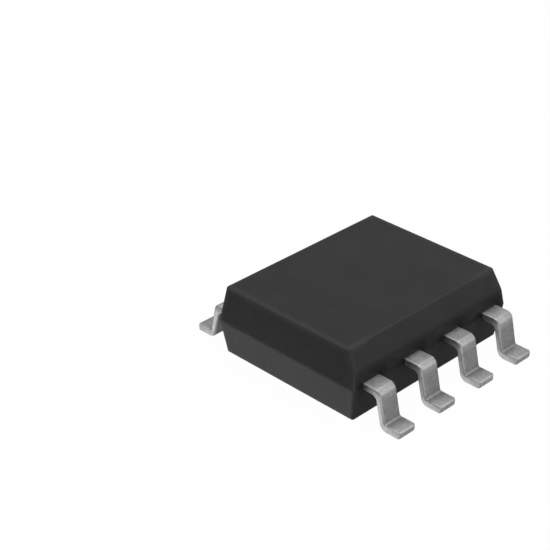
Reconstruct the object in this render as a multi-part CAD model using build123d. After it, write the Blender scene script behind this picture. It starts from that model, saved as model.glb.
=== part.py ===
from build123d import *
import os
from math import atan2, cos, degrees, hypot, radians, tan

# Linear voltage regulator in an eight-lead small-outline package with a heat pad, in millimetres.
# The origin is the middle of the plane that the feet stand on, with +Z up.
# X runs along the rows of leads and Y across them. The bevelled side and leads 1 to 4 face -Y.

# Lead rows
leads_per_side = 4
lead_pitch = 1.27

# Each lead, a strip with softened edges that is bent like a gull's wing
lead_width = 0.50
lead_thickness = 0.165
lead_edge_chamfer = 0.03
shoulder_reach = 0.366  # from the moulding's side to the corner of the upper bend, on the middle line
foot_reach = 0.454  # from the corner of the lower bend to the toe, on the middle line
leg_lean = 13.2  # degrees off upright
shoulder_radii = (0.16, 0.14)  # outside and inside of the upper bend
heel_radii = (0.07, 0.19)  # inside and outside of the lower bend

# The wide finger of each lead, buried in the moulding
lead_cover = 0.20  # moulding between the finger and the outside
finger_length = 0.46
finger_gap = 0.57  # between neighbouring fingers
notch_length = 0.16  # along the finger, one in each side, which the moulding fills
notch_depth = 0.10

# Moulding
end_margin = 0.53  # from the middle of the last lead to the end of the moulding
body_width = 3.92
standoff = 0.01  # from the feet up to the moulding's underside
lower_height = 0.80  # underside to parting line
upper_height = 0.83  # parting line to top
draft_angle = 8.2  # degrees off upright, above and below the parting line
bevel_width = 0.175
bevel_height = 0.463
body_edge_radius = 0.05  # upright corners and the outline of the top
bevel_foot_radius = 0.40  # where the bevel runs into the drafted side
base_edge_radius = 0.02  # outline of the underside

# Heat pad, cut from the same strip as the leads
pad_length = 3.18
pad_width = 2.495
pad_face_height = 0.08  # from the bare face up to the lip that the moulding grips
pad_lip = 0.12
pad_corner_radius = 0.03
tab_width = 0.25
tab_length = 0.15
tie_bar_flat = 0.10  # level run at the inner end of each tie bar
tie_bar_cover = 0.14  # moulding beyond the tie bar's end

# Chip and its bonding layer
die_length = 1.70
die_width = 1.40
die_height = 0.25
attach_thickness = 0.02
attach_margin = 0.04
bond_pad_size = 0.12
bond_pad_height = 0.005
bond_pad_pitch = 0.42
bond_pad_inset = 0.12  # from the chip's edge to the middle of a bond pad

# Bond wires, each with its ball and stitch, drawn with flats in place of their rounds
wire_diameter = 0.05
sides_per_round = 8
wire_bend_radius = 0.12
loop_height = 0.25  # above the leads' upper face
stitch_inset = 0.12  # from the finger's end to the middle of the stitch
stitch_run = 0.25
stitch_drop = 0.20
stitch_diameter = 0.11
stitch_height = 0.012
ball_diameter = 0.10
ball_height = 0.025

# Levels and half sizes that follow
lead_row_length = (leads_per_side - 1) * lead_pitch
body_length = lead_row_length + 2 * end_margin
half_length = body_length / 2
half_width = body_width / 2
parting_level = standoff + lower_height
body_top = parting_level + upper_height
lead_top = parting_level + lead_thickness / 2
pad_top = standoff + lead_thickness
die_base = pad_top + attach_thickness
die_top = die_base + die_height
finger_tip = half_width - lead_cover - finger_length
draft = tan(radians(draft_angle))


def drafted_half(height):
    """One half of the moulding, narrowing from the parting plane up."""
    return extrude(Rectangle(body_length, body_width), height, taper=draft_angle)


def bevel_cutter():
    """The wedge above the slope along the moulding's -Y top edge."""
    top_y = -(half_width - upper_height * draft - bevel_width)
    foot_z = upper_height - bevel_height
    foot_y = -(half_width - foot_z * draft)
    slope_y = (top_y - foot_y) / bevel_height
    high_z = upper_height + bevel_height
    low_z = foot_z - bevel_height
    high_y = top_y + slope_y * (high_z - upper_height)
    low_y = foot_y - slope_y * (foot_z - low_z)
    wedge = Polygon((high_y, high_z), (low_y, low_z), (low_y, high_z), align=None)
    return extrude(Plane.YZ * wedge, half_length + body_edge_radius, both=True)


def upper_half():
    """The bevelled half, rounded everywhere but at the parting line."""
    half = drafted_half(upper_height) - bevel_cutter()
    bevel_foot = half.edges().filter_by(Axis.X).group_by(Axis.Z)[1]
    half = fillet(bevel_foot, bevel_foot_radius)
    raised = half.edges().filter_by(lambda edge: edge.center().Z > base_edge_radius)
    lengthwise = raised.filter_by(Axis.X)
    return fillet(raised - lengthwise + lengthwise.group_by(Axis.Z)[-1], body_edge_radius)


def lower_half():
    """The plain half, rounded everywhere but at the parting line, with the underside up."""
    half = drafted_half(lower_height)
    half = fillet(half.edges().group_by(Axis.Z)[1], body_edge_radius)
    return fillet(half.faces().sort_by(Axis.Z)[-1].edges(), base_edge_radius)


def moulded_block():
    """The solid block before anything is sunk in it: two drafted halves that meet at the parting line."""
    return Pos(0, 0, parting_level) * (upper_half() + mirror(lower_half(), about=Plane.XY))


def strip_line(out, radii):
    """One face of the strip seen from its side, at the distance out from the strip's middle line."""
    lean = radians(leg_lean)
    foot_level = lead_thickness / 2
    shoulder_y = -(half_width + shoulder_reach)
    heel_y = shoulder_y - (parting_level - foot_level) * tan(lean)
    shift = out * (1 / cos(lean) - tan(lean))
    return FilletPolyline(
        (-(finger_tip + finger_length), parting_level + out),
        (shoulder_y - shift, parting_level + out),
        (heel_y - shift, foot_level + out),
        (heel_y - foot_reach, foot_level + out),
        radius=radii,
    )


def lead_strip():
    """The bent strip of a lead on the -Y side, its middle line in the plane x = 0."""
    upper = strip_line(lead_thickness / 2, shoulder_radii[:1] + heel_radii[:1])
    lower = strip_line(-lead_thickness / 2, shoulder_radii[1:] + heel_radii[1:])
    side = make_face(upper + lower + Line(upper @ 0, lower @ 0) + Line(upper @ 1, lower @ 1))
    strip = extrude(Plane.YZ * side, lead_width / 2, both=True)
    edges = strip.faces().filter_by(Axis.X).edges() - strip.faces().sort_by(Axis.Y)[-1].edges()
    return chamfer(edges, lead_edge_chamfer)


def lead_finger():
    """The wide flat finger at the lead's inner end, with a notch in each side to hold it in the moulding."""
    finger_width = lead_pitch - finger_gap
    outline = Rectangle(finger_width, finger_length)
    for side in (-1, 1):
        outline -= Pos(side * finger_width / 2, 0) * Rectangle(2 * notch_depth, notch_length)
    middle = Pos(0, -(finger_tip + finger_length / 2), parting_level - lead_thickness / 2)
    return middle * extrude(outline, lead_thickness)


def lead():
    return lead_strip() + lead_finger()


def lead_place(number):
    """Where lead number 1 to 8 stands: 1 to 4 along the -Y side, and the rest back along the +Y side."""
    side, index = divmod(number - 1, leads_per_side)
    x = index * lead_pitch - lead_row_length / 2
    return Rot(0, 0, 180 * side) * Pos(x, 0, 0)


def heat_pad():
    """The paddle under the chip: a bare lower face, a wider lip above it and a tie bar at each end."""
    face = extrude(RectangleRounded(pad_length, pad_width, pad_corner_radius), lead_thickness)
    lip_size = (pad_length + 2 * pad_lip, pad_width + 2 * pad_lip)
    lip = extrude(RectangleRounded(*lip_size, pad_corner_radius), lead_thickness - pad_face_height)
    paddle = Pos(0, 0, standoff) * face + Pos(0, 0, standoff + pad_face_height) * lip
    level = standoff + lead_thickness / 2
    end_x = half_length - tie_bar_cover
    start = (pad_length / 2 - tab_width, 0, level)
    points = [
        start,
        (pad_length / 2 + tab_length, 0, level),
        (end_x - tie_bar_flat, 0, parting_level),
        (end_x, 0, parting_level),
    ]
    section = Plane(start, x_dir=(0, 1, 0), z_dir=(1, 0, 0))
    bar = sweep(section * Rectangle(tab_width, lead_thickness), Polyline(*points), transition=Transition.RIGHT)
    return paddle + bar + Rot(0, 0, 180) * bar


def die_attach():
    lower = Rectangle(die_length + 2 * attach_margin, die_width + 2 * attach_margin)
    upper = Rectangle(die_length, die_width)
    return loft([Pos(0, 0, pad_top) * lower, Pos(0, 0, die_base) * upper])


def bond_pad_place(number):
    side, index = divmod(number - 1, leads_per_side)
    x = (index - (leads_per_side - 1) / 2) * bond_pad_pitch
    return Rot(0, 0, 180 * side) * Pos(x, -(die_width / 2 - bond_pad_inset), die_top)


def regulator_die(numbers):
    chip = extrude(Rectangle(die_length, die_width), die_height)
    pad = extrude(Rectangle(bond_pad_size, bond_pad_size), bond_pad_height)
    return Pos(0, 0, die_base) * chip + [bond_pad_place(number) * pad for number in numbers]


def bond_wire(number):
    """A wire from a ball on the chip, up and over to a stitch on the lead's finger."""
    ball_place = bond_pad_place(number).position + Vector(0, 0, bond_pad_height)
    stitch_place = (lead_place(number) * Pos(0, -(finger_tip + stitch_inset), lead_top)).position
    across = stitch_place - ball_place
    span = hypot(across.X, across.Y)
    rise = lead_top + loop_height - ball_place.Z
    step = lead_top - ball_place.Z
    tail = wire_diameter / stitch_drop
    path = FilletPolyline(
        (0, 0, 0),
        (0, 0, rise),
        (span - stitch_run, 0, step + stitch_drop),
        (span + tail * stitch_run, 0, step - tail * stitch_drop),
        radius=wire_bend_radius,
    )
    wire = sweep(RegularPolygon(wire_diameter / 2, sides_per_round), path=path)
    spare = Pos(span, 0, step - wire_diameter) * Box(4 * wire_diameter, 2 * wire_diameter, 2 * wire_diameter)
    ball = extrude(RegularPolygon(ball_diameter / 2, sides_per_round), ball_height)
    stitch = Pos(span, 0, step) * extrude(RegularPolygon(stitch_diameter / 2, sides_per_round), stitch_height)
    turn = degrees(atan2(across.Y, across.X))
    return Pos(ball_place) * Rot(0, 0, turn) * (wire - spare + ball + stitch)


numbers = range(1, 2 * leads_per_side + 1)
pieces = {"heat_pad": heat_pad(), "die_attach": die_attach(), "regulator_die": regulator_die(numbers)}
one_lead = lead()
for number in numbers:
    pieces[f"lead_{number}"] = lead_place(number) * one_lead
    pieces[f"bond_wire_{number}"] = bond_wire(number)
pieces["mould_body"] = moulded_block() - list(pieces.values())

os.makedirs("parts", exist_ok=True)
for name, piece in pieces.items():
    export_step(piece, f"parts/{name}.step")
    print(name, "volume", round(piece.volume, 4), "faces", len(piece.faces()))
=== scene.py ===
import bpy
import numpy as np
from math import cos, radians, sin, tan
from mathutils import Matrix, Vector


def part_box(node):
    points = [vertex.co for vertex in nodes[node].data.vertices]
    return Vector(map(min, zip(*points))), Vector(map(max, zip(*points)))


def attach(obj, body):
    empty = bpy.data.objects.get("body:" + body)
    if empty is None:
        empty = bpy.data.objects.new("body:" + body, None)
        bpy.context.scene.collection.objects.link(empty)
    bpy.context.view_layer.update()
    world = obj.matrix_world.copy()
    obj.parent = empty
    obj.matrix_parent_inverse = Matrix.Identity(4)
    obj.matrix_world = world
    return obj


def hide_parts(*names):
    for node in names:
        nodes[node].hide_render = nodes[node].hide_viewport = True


# Linear voltage regulator: a matt black moulding with eight tin-plated leads and a bare heat pad below.
# Everything is in metres and +Z is up. The feet stand on z = 0, with leads 1 to 4 along the -Y side.

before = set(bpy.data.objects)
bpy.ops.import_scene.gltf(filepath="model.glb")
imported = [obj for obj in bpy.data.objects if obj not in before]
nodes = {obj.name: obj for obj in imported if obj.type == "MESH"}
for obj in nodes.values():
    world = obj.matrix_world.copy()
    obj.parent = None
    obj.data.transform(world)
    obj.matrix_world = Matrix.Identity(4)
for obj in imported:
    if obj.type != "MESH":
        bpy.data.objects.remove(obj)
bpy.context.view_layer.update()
mm = 0.001
leadPitch = 1.27 * mm
partingLevel = 0.81 * mm  # where the moulding's halves meet, and the middle of each lead where it comes out
print("model loaded:", len(nodes), "nodes")


# Camera

camera = dict(
    azimuth=-45.0,  # degrees, 0 looks along +Y
    elevation=30.0,
    distance=33.48 * mm,  # from the part's origin, along the line of sight
    left=1.906 * mm,  # how far it stands to the left of that line, and above it
    up=1.487 * mm,
    lens=100.0,
    sensor=36.0,
    clip=(1 * mm, 2000 * mm),
)


def directionOf(azimuth, elevation):
    # unit vector from the part towards something that stands there, both in degrees
    a, e = radians(azimuth), radians(elevation)
    return (sin(a) * cos(e), -cos(a) * cos(e), sin(e))


def placeCamera(plan):
    turn = radians(plan["azimuth"])
    back = np.array(directionOf(plan["azimuth"], plan["elevation"]))
    right = np.array([cos(turn), sin(turn), 0.0])
    up = np.cross(back, right)
    data = bpy.data.cameras.new("camera")
    data.lens = plan["lens"]
    data.sensor_width = plan["sensor"]
    data.clip_start, data.clip_end = plan["clip"]
    eye = bpy.data.objects.new("camera", data)
    eye.location = plan["distance"] * back - plan["left"] * right + plan["up"] * up
    eye.rotation_euler = (radians(90 - plan["elevation"]), 0, turn)
    bpy.context.scene.collection.objects.link(eye)
    bpy.context.scene.camera = eye


placeCamera(camera)
print("camera placed")


# Shader sums in plain Python

class Signal:
    # One shader socket. An operator on it adds the Math node that does the sum.
    def __init__(self, tree, socket):
        self.tree = tree
        self.socket = socket

    def node(self, kind, settings=None, sockets=None, output=0):
        # any node: its settings first, then a value or a link for each of its sockets
        made = self.tree.nodes.new(kind)
        for name, value in (settings or {}).items():
            setattr(made, name, value)
        for name, value in (sockets or {}).items():
            if isinstance(value, Signal):
                self.tree.links.new(value.socket, made.inputs[name])
            else:
                made.inputs[name].default_value = value
        return Signal(self.tree, made.outputs[output]) if made.outputs else None

    def outlets(self, *names):
        # outputs of the node that this one comes out of
        return [Signal(self.tree, self.socket.node.outputs[name]) for name in names]

    def maths(self, operation, *others):
        return self.node("ShaderNodeMath", {"operation": operation}, dict(enumerate((self, *others))))

    def __add__(self, other):
        return self.maths("ADD", other)

    def __radd__(self, other):
        return self + other

    def __sub__(self, other):
        return self.maths("SUBTRACT", other)

    def __rsub__(self, other):
        return self.node("ShaderNodeMath", {"operation": "SUBTRACT"}, {0: other, 1: self})

    def __mul__(self, other):
        return self.maths("MULTIPLY", other)

    def __rmul__(self, other):
        return self * other

    def __abs__(self):
        return self.maths("ABSOLUTE")

    def clamped(self, low, high, newLow=0.0, newHigh=1.0):
        # a straight line from newLow at low to newHigh at high, held level outside them
        line = {0: self, 1: low, 2: high, 3: newLow, 4: newHigh}
        return self.node("ShaderNodeMapRange", {"clamp": True}, line)

    def noise(self, size, detail=2.0, roughness=0.5, stretch=(1, 1, 1)):
        # soft noise from 0 to 1 whose blobs are about size metres across, longer where stretch is over 1
        scale = tuple(1 / (size * s) for s in stretch)
        place = self.node("ShaderNodeMapping", {}, {"Vector": self, "Scale": scale})
        grain = {"Vector": place, "Scale": 1.0, "Detail": detail, "Roughness": roughness}
        return place.node("ShaderNodeTexNoise", {}, grain)

    def mixed(self, first, second):
        # first where this is 0 and second where it is 1, both colours
        return self.node("ShaderNodeMix", {"data_type": "RGBA"}, {0: self, 6: first, 7: second}, output=2)

    def scaled(self, factor):
        # a colour made paler or darker
        return self.node("ShaderNodeVectorMath", {"operation": "SCALE"}, {"Vector": self, "Scale": factor})

    def xyz(self):
        return self.node("ShaderNodeSeparateXYZ", {}, {"Vector": self}).outlets("X", "Y", "Z")


def startMaterial(name):
    made = bpy.data.materials.new(name)
    made.use_nodes = True
    tree = made.node_tree
    tree.nodes.clear()
    return made, Signal(tree, tree.nodes.new("ShaderNodeTexCoord").outputs["Object"])


def finishMaterial(place, sockets, height=None, bumpDistance=0.0, normal=None):
    # sockets go to the surface shader, and height, from 0 to 1, becomes relief bumpDistance metres deep
    if height is not None:
        relief = {"Height": height, "Distance": bumpDistance}
        if normal is not None:
            relief["Normal"] = normal
        sockets = dict(sockets, Normal=place.node("ShaderNodeBump", {}, relief))
    skin = place.node("ShaderNodeBsdfPrincipled", {}, sockets)
    place.node("ShaderNodeOutputMaterial", {}, {"Surface": skin})


def grey(level):
    return (level, level, level, 1.0)


# Moulding compound

moulding = dict(
    dark=0.0125,
    light=0.0165,
    cloudSize=0.9 * mm,
    cloudSpread=(0.35, 0.65),  # noise that gives the dark and the light
    filler=0.040,  # the palest filler grains
    fillerShare=0.8,
    fillerSize=0.039 * mm,
    fillerSpread=(0.66, 0.78),  # noise at which a grain begins and is whole
    grainSize=0.065 * mm,
    reliefDepth=0.0055 * mm,
    roughness=(0.25, 0.47),  # at the grain's lowest and highest
    shine=0.25,
    softEdge=0.12 * mm,  # width over which light runs round an edge
    softSamples=8,
    edgeHighlight=0.042,  # painted highlight along the edges
    edgeHighlightWidth=(0.055 * mm, 0.18 * mm),  # along the sides, and at the moulding's ends
    edgeHighlightRun=(0.9 * mm, 0.3 * mm),  # from the ends, and between them one width turns into the other
    draft=8.2,  # degrees off upright
    bevelAngle=27.6,
    bevelTop=1.665 * mm,  # from the middle to the bevel's upper edge
    rootHalf=(0.25 * mm, 0.083 * mm),  # half width and half thickness of a lead where it leaves the moulding
    rootReach=0.26 * mm,  # how far the dark round it goes
    rootTone=0.05,  # what is left of the colour next to the lead
    rootFrom=(1.70 * mm, 1.80 * mm),  # from the middle, so that the top keeps its colour
)


def edgeHighlightMask(plan, x, y, z):
    # Mask of the painted highlight along the edges: 1 along the edges and 0 on the faces. The depths below
    # the end, side and top faces are worked out, and on an edge two of them are next to nothing, so the
    # middle one of the three tells how near it is.
    halfLength, halfWidth, top = (float(v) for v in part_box("mould_body")[1])
    inset = abs(z - partingLevel) * tan(radians(plan["draft"]))
    belowEnd = halfLength - inset - abs(x)
    belowSide = halfWidth - inset - abs(y)
    belowTop = top - z
    lean = radians(plan["bevelAngle"])
    belowBevel = (plan["bevelTop"] + y) * cos(lean) + belowTop * sin(lean)
    belowSide = belowSide.maths("MINIMUM", belowBevel)
    lower = belowSide.maths("MINIMUM", belowEnd)
    upper = belowSide.maths("MAXIMUM", belowEnd)
    middle = lower.maths("MAXIMUM", upper.maths("MINIMUM", belowTop))
    far, close = plan["edgeHighlightRun"]
    reach = abs(x).clamped(halfLength - far, halfLength - close, *plan["edgeHighlightWidth"])
    near = middle.maths("DIVIDE", reach).clamped(0.0, 1.0, 1.0, 0.0)
    return near * near


def rootShade(plan, x, y, z):
    # painted shade, darker round each lead where it leaves the moulding
    halfWidth, halfHeight = plan["rootHalf"]
    aside = leadPitch / 2 - x.maths("PINGPONG", leadPitch / 2) - halfWidth
    above = abs(z - partingLevel) - halfHeight
    aside, above = [v.maths("MAXIMUM", 0.0) for v in (aside, above)]
    away = (aside * aside + above * above).maths("SQRT")
    shade = away.clamped(0.0, plan["rootReach"], plan["rootTone"], 1.0)
    return shade.maths("MAXIMUM", abs(y).clamped(*plan["rootFrom"], 1.0, 0.0))


def mouldingMaterial(plan):
    made, place = startMaterial("mouldingCompound")
    x, y, z = place.xyz()
    clouds = place.noise(plan["cloudSize"], detail=3.0).clamped(*plan["cloudSpread"])
    specks = place.noise(plan["fillerSize"], detail=1.0).clamped(*plan["fillerSpread"])
    grain = place.noise(plan["grainSize"], detail=3.0, roughness=0.65)
    base = clouds.mixed(grey(plan["dark"]), grey(plan["light"]))
    base = (specks * plan["fillerShare"]).mixed(base, grey(plan["filler"]))
    # painted highlight along the edges
    base = edgeHighlightMask(plan, x, y, z).mixed(base, grey(plan["edgeHighlight"]))
    # painted shade round each lead where it leaves the moulding
    base = base.scaled(rootShade(plan, x, y, z))
    roughness = grain.clamped(0.0, 1.0, *plan["roughness"])
    softened = place.node("ShaderNodeBevel", {"samples": plan["softSamples"]}, {"Radius": plan["softEdge"]})
    sockets = {"Base Color": base, "Roughness": roughness, "Specular IOR Level": plan["shine"]}
    finishMaterial(place, sockets, grain, plan["reliefDepth"], softened)
    return made


# Tin plate on the leads and on the heat pad

plating = dict(
    dark=0.455,
    light=0.555,
    cloudSize=0.22 * mm,
    cloudSpread=(0.3, 0.7),
    grainSize=0.018 * mm,
    reliefDepth=0.0010 * mm,
    streakSize=0.04 * mm,
    streakSpread=(0.6, 1.4),  # streaks and specks added up
    streak=0.22,  # how much paler or darker the palest and darkest of them are
    rolled=(1, 2.5, 2.5),  # how much longer grain and streaks are along each axis
    roughness=(0.36, 0.56),  # where clouds and grain are both at their lowest, and at their highest
)
padPlating = dict(
    plating,
    dark=0.72,
    light=0.80,
    cloudSize=0.5 * mm,
    streak=0.10,
    rolled=(6, 1, 1),
    roughness=(0.32, 0.52),
)


def platingMaterial(name, plan, paintedShading=None):
    made, place = startMaterial(name)
    clouds = place.noise(plan["cloudSize"], detail=4.0, roughness=0.6).clamped(*plan["cloudSpread"])
    grain = place.noise(plan["grainSize"], stretch=plan["rolled"])
    streaks = place.noise(plan["streakSize"], detail=3.0, roughness=0.6, stretch=plan["rolled"])
    specks = place.noise(plan["streakSize"], detail=3.0, roughness=0.7)
    shade = (streaks + specks).clamped(*plan["streakSpread"], 1 - plan["streak"], 1 + plan["streak"])
    # painted shade and highlights of the leads, where a plan for them is given
    if paintedShading is not None:
        shade = shade * paintedLeadShading(paintedShading, place)
    base = clouds.mixed(grey(plan["dark"]), grey(plan["light"])).scaled(shade)
    roughness = (clouds + grain).clamped(0.0, 2.0, *plan["roughness"])
    sockets = {"Base Color": base, "Metallic": 1.0, "Roughness": roughness}
    finishMaterial(place, sockets, grain, plan["reliefDepth"])
    return made


# painted shade and highlights on the leads: where each sets in, how far it reaches, and how dark or bright
# it is
leadLightAndShade = dict(
    crease=(2.562 * mm, 0.165 * mm),  # where leg and foot would meet, out from the middle and up
    creaseReach=(0.05 * mm, 0.24 * mm),
    creaseTone=0.80,
    legLevel=0.43 * mm,
    legReach=(0.20 * mm, 0.30 * mm),  # up and down from there
    legTone=0.78,
    footFrom=(0.17 * mm, 0.25 * mm),  # levels between which the foot turns into the leg
    footTone=0.87,
    rim=0.231 * mm,  # middle of a lead to the middle of its rounded edge
    rimReach=0.024 * mm,
    rimTone=1.28,
    rimFade=(0.68 * mm, 0.78 * mm),  # levels between which it fades, up to the shoulder
    shoulderRim=0.35,  # what is left of it there
    toe=2.935 * mm,
    toeTone=1.35,
    endFrom=(2.944 * mm, 2.950 * mm),  # the cut end of the foot
    endTone=1.25,
    side=(0.243 * mm, 0.249 * mm),  # middle of a lead to its narrow sides
    sideFrom=(1.40 * mm, 1.65 * mm),  # how far out less how far up
    sideTone=(0.74, 1.20),  # next to the moulding, and away from it
    outerSide=(2.09 * mm, 2.14 * mm),  # from the row's middle, and sides nearer to it face a neighbour
    legSideTone=(0.66, 1.15),
)


def paintedLeadShading(plan, place):
    # Painted shade: darker on the foot, in the crease of the lower bend, on the straight of the leg, and on
    # narrow sides that face the moulding or a neighbour. Painted highlights: brighter on the cut end, along
    # the toe and on the rounded edges, less so on the shoulder, and on narrow sides that face away from the
    # moulding and neighbours.
    x, y, z = place.xyz()
    y = abs(y)
    aside = leadPitch / 2 - x.maths("PINGPONG", leadPitch / 2)
    out, up = y - plan["crease"][0], z - plan["crease"][1]
    crease = (out * out + up * up).maths("SQRT").clamped(*plan["creaseReach"], plan["creaseTone"], 1.0)
    onLeg = abs(z - plan["legLevel"]).clamped(*plan["legReach"], 1.0, 0.0)
    foot = z.clamped(*plan["footFrom"], plan["footTone"], 1.0)
    rim = abs(aside - plan["rim"]).clamped(0.0, plan["rimReach"], plan["rimTone"] - 1, 0.0)
    rim = 1 + rim * z.clamped(*plan["rimFade"], 1.0, plan["shoulderRim"])
    toe = abs(y - plan["toe"]).clamped(0.0, plan["rimReach"], plan["toeTone"], 1.0)
    side = (y - z).clamped(*plan["sideFrom"], *plan["sideTone"])
    legSide = abs(x).clamped(*plan["outerSide"], *plan["legSideTone"])
    side = side * (1 + (legSide - 1) * onLeg)
    tone = crease * (1 - (1 - plan["legTone"]) * onLeg) * foot
    tone = tone + aside.clamped(*plan["side"]) * (side - tone)
    tone = tone + y.clamped(*plan["endFrom"]) * (plan["endTone"] - tone)
    return tone * rim.maths("MAXIMUM", toe)


# Chip, bonding layer and wires, sealed inside

chip = dict(
    dark=0.09,
    sheen=(0.07, 0.09, 0.13, 1.0),
    cloudSize=0.3 * mm,
    polishSize=0.05 * mm,
    polishSpread=(0.3, 0.7),
    roughness=(0.22, 0.32),
)


def siliconMaterial(plan):
    made, place = startMaterial("siliconChip")
    tint = place.noise(plan["cloudSize"]).mixed(grey(plan["dark"]), plan["sheen"])
    roughness = place.noise(plan["polishSize"]).clamped(*plan["polishSpread"], *plan["roughness"])
    finishMaterial(place, {"Base Color": tint, "Roughness": roughness})
    return made


bonding = dict(
    dark=0.385,
    pale=(0.561, 0.55, 0.539, 1.0),
    flakeSize=0.02 * mm,
    reliefDepth=0.002 * mm,
    metallic=0.6,
    roughness=0.5,
)


def bondingMaterial(plan):
    made, place = startMaterial("silverPaste")
    flakes = place.noise(plan["flakeSize"], detail=3.0)
    tint = flakes.mixed(grey(plan["dark"]), plan["pale"])
    sockets = {"Base Color": tint, "Metallic": plan["metallic"], "Roughness": plan["roughness"]}
    finishMaterial(place, sockets, flakes, plan["reliefDepth"])
    return made


gold = dict(
    deep=(0.90, 0.62, 0.22, 1.0),
    pale=(0.95, 0.72, 0.34, 1.0),
    cloudSize=0.06 * mm,
    roughness=0.25,
)


def goldMaterial(plan):
    made, place = startMaterial("goldWire")
    tint = place.noise(plan["cloudSize"]).mixed(plan["deep"], plan["pale"])
    finishMaterial(place, {"Base Color": tint, "Metallic": 1.0, "Roughness": plan["roughness"]})
    return made


skins = dict(
    mould_body=mouldingMaterial(moulding),
    heat_pad=platingMaterial("heatPadPlating", padPlating),
    regulator_die=siliconMaterial(chip),
    die_attach=bondingMaterial(bonding),
)
leadPlating = platingMaterial("leadPlating", plating, leadLightAndShade)
wireGold = goldMaterial(gold)
for name, node in nodes.items():
    if name.startswith("lead_"):
        skins[name] = leadPlating
    if name.startswith("bond_wire_"):
        skins[name] = wireGold
    node.data.materials.clear()
    node.data.materials.append(skins[name])
print("materials made:", len(set(skins.values())))


# Leads

lead = dict(
    perSide=4,
    width=0.50 * mm,
    thickness=0.165 * mm,
    finger=(1.30 * mm, 1.45 * mm, 1.61 * mm, 1.76 * mm),  # tip, notch start and end, outer end
    fingerWidth=0.70 * mm,
    shoulder=2.326 * mm,  # corner of the upper bend
    footReach=0.454 * mm,  # from the corner of the lower bend to the toe
    lean=13.2,  # degrees off upright
    frontRadii=(0.16 * mm, 0.05 * mm),  # upper and lower bend, on the face that is seen from outside
    backRadii=(0.14 * mm, 0.19 * mm),
    shoulderRounding=0.034 * mm,  # of the long edges, on the shoulder, the leg and the foot
    legRounding=0.060 * mm,
    footRounding=0.020 * mm,
    toeEdges=0.045 * mm,  # rounding of the long edges where the toe is cut
    toeTaper=0.5,  # share of what the toe draws in that comes off it
    toeRounding=0.045 * mm,  # of the toe's upper and lower edge
    toeCorners=0.075 * mm,  # seen from above
    toeRows=6,
    rowsPerBend=20,
    pointsPerEdge=8,
    sharpFrom=40.0,  # degrees between two faces
)


def roundedLine(corners, radii, rowsPerBend):
    # Straight runs joined by arcs. At a corner the run stops radius x tan(half the turn) short, and the arc
    # is stop + radius x (sin(a) x along + (1 - cos(a)) x inward), for a from 0 to the turn.
    corners = np.asarray(corners, float)
    points = [corners[:1]]
    for before, corner, after, radius in zip(corners, corners[1:], corners[2:], radii):
        along = (corner - before) / np.linalg.norm(corner - before)
        onward = (after - corner) / np.linalg.norm(after - corner)
        turn = np.arccos(along @ onward)
        inward = onward - (along @ onward) * along
        inward = inward / np.linalg.norm(inward)
        stop = corner - along * radius * np.tan(turn / 2)
        a = np.linspace(0, turn, rowsPerBend)[:, None]
        points.append(stop + radius * (np.sin(a) * along + (1 - np.cos(a)) * inward))
    return np.concatenate(points + [corners[-1:]])


def roundedSection(halfWidth, halfHeight, rounding, pointsPerEdge):
    # Closed outline for each row: corner centre + rounding x (cos(a), sin(a)), a quarter turn for each
    # corner. The first three are one number for each row.
    quarter = np.linspace(0, np.pi / 2, pointsPerEdge)
    a = (np.arange(4)[:, None] * np.pi / 2 + quarter).ravel()
    sideways = np.repeat([1, -1, -1, 1], pointsPerEdge)
    upwards = np.repeat([1, 1, -1, -1], pointsPerEdge)
    halfWidth, halfHeight, rounding = (v[:, None] for v in (halfWidth, halfHeight, rounding))
    across = sideways * (halfWidth - rounding) + rounding * np.cos(a)
    through = upwards * (halfHeight - rounding) + rounding * np.sin(a)
    return across, through


def tubeMesh(name, rows, sharpFrom):
    # rows is an array (rings, points per ring, 3), closed round each ring, with a flat end face at both ends
    rings, count = rows.shape[:2]
    index = np.arange(rings * count).reshape(rings, count)
    following = np.roll(index, -1, axis=1)
    quads = np.stack([index[:-1], following[:-1], following[1:], index[1:]], axis=-1).reshape(-1, 4)
    faces = quads.tolist() + [index[0][::-1].tolist(), index[-1].tolist()]
    mesh = bpy.data.meshes.new(name)
    mesh.from_pydata(rows.reshape(-1, 3).tolist(), [], faces)
    mesh.shade_smooth()
    mesh.set_sharp_from_angle(angle=radians(sharpFrom))
    return mesh


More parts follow.
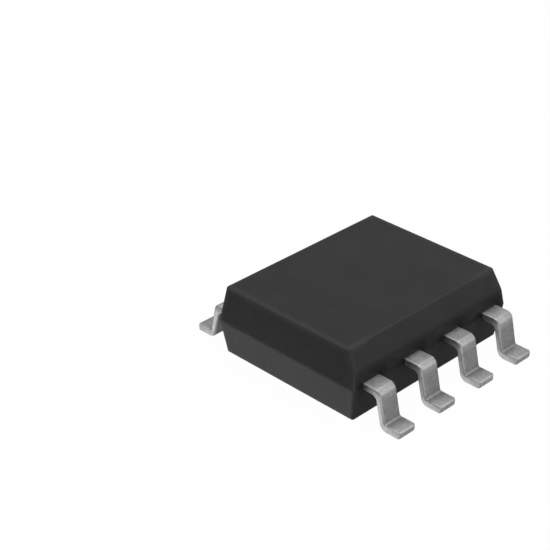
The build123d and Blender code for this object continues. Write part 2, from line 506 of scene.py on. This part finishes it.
def leadRows(plan):
    # The rounded section carried along the bent strip, between its front and its back line. Its half width
    # steps at the finger's notches and end. The last rows run toeRounding x sin(a) further, and in them the
    # half height draws in by toeRounding x (1 - cos(a)) and the half width by toeCorners x (1 - cos(a)).
    half = plan["thickness"] / 2
    slope = tan(radians(plan["lean"]))
    heel = plan["shoulder"] + (partingLevel - half) * slope
    toe = heel + plan["footReach"]
    steps = np.repeat(plan["finger"], [1, 2, 2, 2])
    a = np.linspace(0, np.pi / 2, plan["toeRows"])
    lines = []
    for out, radii in ((half, plan["frontRadii"]), (-half, plan["backRadii"])):
        shift = out / cos(radians(plan["lean"])) - out * slope  # the corners lie where the offset lines meet
        corners = [(steps[0], partingLevel + out), (plan["shoulder"] + shift, partingLevel + out)]
        corners += [(heel + shift, half + out), (toe, half + out)]
        inner = np.column_stack([steps, np.full(len(steps), partingLevel + out)])
        bends = roundedLine(corners, radii, plan["rowsPerBend"])[1:-1]
        end = np.column_stack([toe - plan["toeRounding"] * (1 - np.sin(a)), np.full(len(a), half + out)])
        lines.append(np.concatenate([inner, bends, end]))
    front, back = lines
    halfHeight = np.linalg.norm(front - back, axis=1) / 2
    outward = (front - back) / (2 * halfHeight[:, None])
    middle = (front + back) / 2

    wide, narrow = plan["fingerWidth"] / 2, plan["width"] / 2
    stepWidths = [wide, wide, narrow, narrow, wide, wide, narrow]
    halfWidth = np.concatenate([stepWidths, np.full(len(front) - len(steps), narrow)])
    drawnIn = np.concatenate([np.zeros(len(front) - len(a)), 1 - np.cos(a)])
    halfWidth = halfWidth - plan["toeCorners"] * drawnIn
    inset = plan["toeRounding"] * drawnIn

    row = np.arange(len(front))
    legRow = len(steps) + plan["rowsPerBend"] - 1  # where the leg starts, and it ends in the next row
    knots = [legRow + 1 - plan["rowsPerBend"], legRow, legRow + 1, legRow + plan["rowsPerBend"]]
    parts = ("shoulder", "leg", "leg", "foot")
    rounding = np.interp(row, knots, [plan[part + "Rounding"] for part in parts])
    rounding = np.where(row > len(front) - len(a), plan["toeEdges"], rounding) - inset * plan["toeTaper"]
    across, through = roundedSection(halfWidth, halfHeight - inset, rounding, plan["pointsPerEdge"])
    y = middle[:, :1] + through * outward[:, :1]
    z = middle[:, 1:] + through * outward[:, 1:]
    return np.stack([across, -y, z], axis=-1)


def makeLeads(plan):
    # one shape, set along the -Y side, and turned half round the middle for the +Y side
    rows = leadRows(plan)
    for number in range(1, 2 * plan["perSide"] + 1):
        side, index = divmod(number - 1, plan["perSide"])
        x = (index - (plan["perSide"] - 1) / 2) * leadPitch
        turned = (rows + [x, 0, 0]) * ([-1, -1, 1] if side else [1, 1, 1])
        name = f"plated_lead_{number}"
        piece = bpy.data.objects.new(name, tubeMesh(name, turned, plan["sharpFrom"]))
        piece.data.materials.append(leadPlating)
        bpy.context.scene.collection.objects.link(piece)
        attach(piece, "root")
        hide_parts(f"lead_{number}")


makeLeads(lead)
print("leads made")


# Floor, sky and lamp

ground = dict(
    half=400 * mm,
    tones=(0.80, 0.784),
    cloudSize=40 * mm,
    glow=0.98,  # how much of its look is plain white rather than lit floor
)


def makeFloor(plan):
    # plain white to the camera, with a trace of the shadow, and clear to mirror rays and from below
    h = plan["half"]
    mesh = bpy.data.meshes.new("floor")
    mesh.from_pydata([(-h, -h, 0), (h, -h, 0), (h, h, 0), (-h, h, 0)], [], [(0, 1, 2, 3)])
    floor = bpy.data.objects.new("floor", mesh)
    bpy.context.scene.collection.objects.link(floor)
    made, place = startMaterial("floor")
    path = place.node("ShaderNodeLightPath")
    seen, glossy, through = path.outlets("Is Camera Ray", "Is Glossy Ray", "Is Transmission Ray")
    below = place.node("ShaderNodeNewGeometry", output="Backfacing")
    cloud = place.noise(plan["cloudSize"]).mixed(*[grey(tone) for tone in plan["tones"]])
    lit = place.node("ShaderNodeBsdfDiffuse", {}, {"Color": cloud})
    white = place.node("ShaderNodeEmission", {}, {"Color": grey(1.0), "Strength": 1.0})
    top = place.node("ShaderNodeMixShader", {}, {0: seen * plan["glow"], 1: lit, 2: white})
    clear = place.node("ShaderNodeBsdfTransparent")
    gone = glossy.maths("MAXIMUM", through).maths("MAXIMUM", below)
    surface = place.node("ShaderNodeMixShader", {}, {0: gone, 1: top, 2: clear})
    place.node("ShaderNodeOutputMaterial", {}, {"Surface": surface})
    mesh.materials.append(made)


sky = dict(
    ambient=0.20,
    overhead=1.20,
    overheadFrom=(0.5, 0.9),  # sines of the elevations between which one turns into the other
    boxCore=8,  # degrees from a box's middle within which it has its whole strength
    boxes=dict(  # azimuth and elevation, degrees from the middle to the outer edge, and strength
        behind=(131, 35, 38, 0.31),  # mirrored in the level faces
        backLeft=(-141, 30, 38, 0.45),
        left=(-128, 8, 24, 0.45),
        leftUnder=(-136, -51, 38, 0.97),  # mirrored in the lower half of the moulding's end
        right=(31, 20, 38, 1.06),
        rightUnder=(44, -50, 38, 0.10),
        front=(-45, -20, 38, 0.95),
    ),
)


def makeSky(plan):
    # an even light, more overhead, and soft boxes, with plain white where the camera sees it
    world = bpy.data.worlds.new("sky")
    world.use_nodes = True
    tree = world.node_tree
    tree.nodes.clear()
    place = Signal(tree, tree.nodes.new("ShaderNodeTexCoord").outputs["Generated"])
    light = place.xyz()[2].clamped(*plan["overheadFrom"], plan["ambient"], plan["overhead"])
    core = cos(radians(plan["boxCore"]))
    for azimuth, elevation, edge, strength in plan["boxes"].values():
        towards = {0: place, 1: directionOf(azimuth, elevation)}
        facing = place.node("ShaderNodeVectorMath", {"operation": "DOT_PRODUCT"}, towards, output=1)
        light = light + facing.clamped(cos(radians(edge)), core, 0.0, strength)
    seen = place.node("ShaderNodeLightPath", output="Is Camera Ray")
    shine = {"Color": grey(1.0), "Strength": seen + (1 - seen) * light}
    place.node("ShaderNodeOutputWorld", {}, {"Surface": place.node("ShaderNodeBackground", {}, shine)})
    bpy.context.scene.world = world


lamp = dict(
    azimuth=-80,
    elevation=55,
    strength=0.15,
    width=50,  # degrees across, for a soft shadow
)


def makeLamp(plan):
    data = bpy.data.lights.new("softLamp", "SUN")
    data.energy = plan["strength"]
    data.angle = radians(plan["width"])
    sun = bpy.data.objects.new("softLamp", data)
    sun.rotation_euler = (radians(90 - plan["elevation"]), 0, radians(plan["azimuth"]))
    bpy.context.scene.collection.objects.link(sun)


makeFloor(ground)
makeSky(sky)
makeLamp(lamp)
print("studio set")


bpy.context.scene.view_settings.view_transform = "Standard"
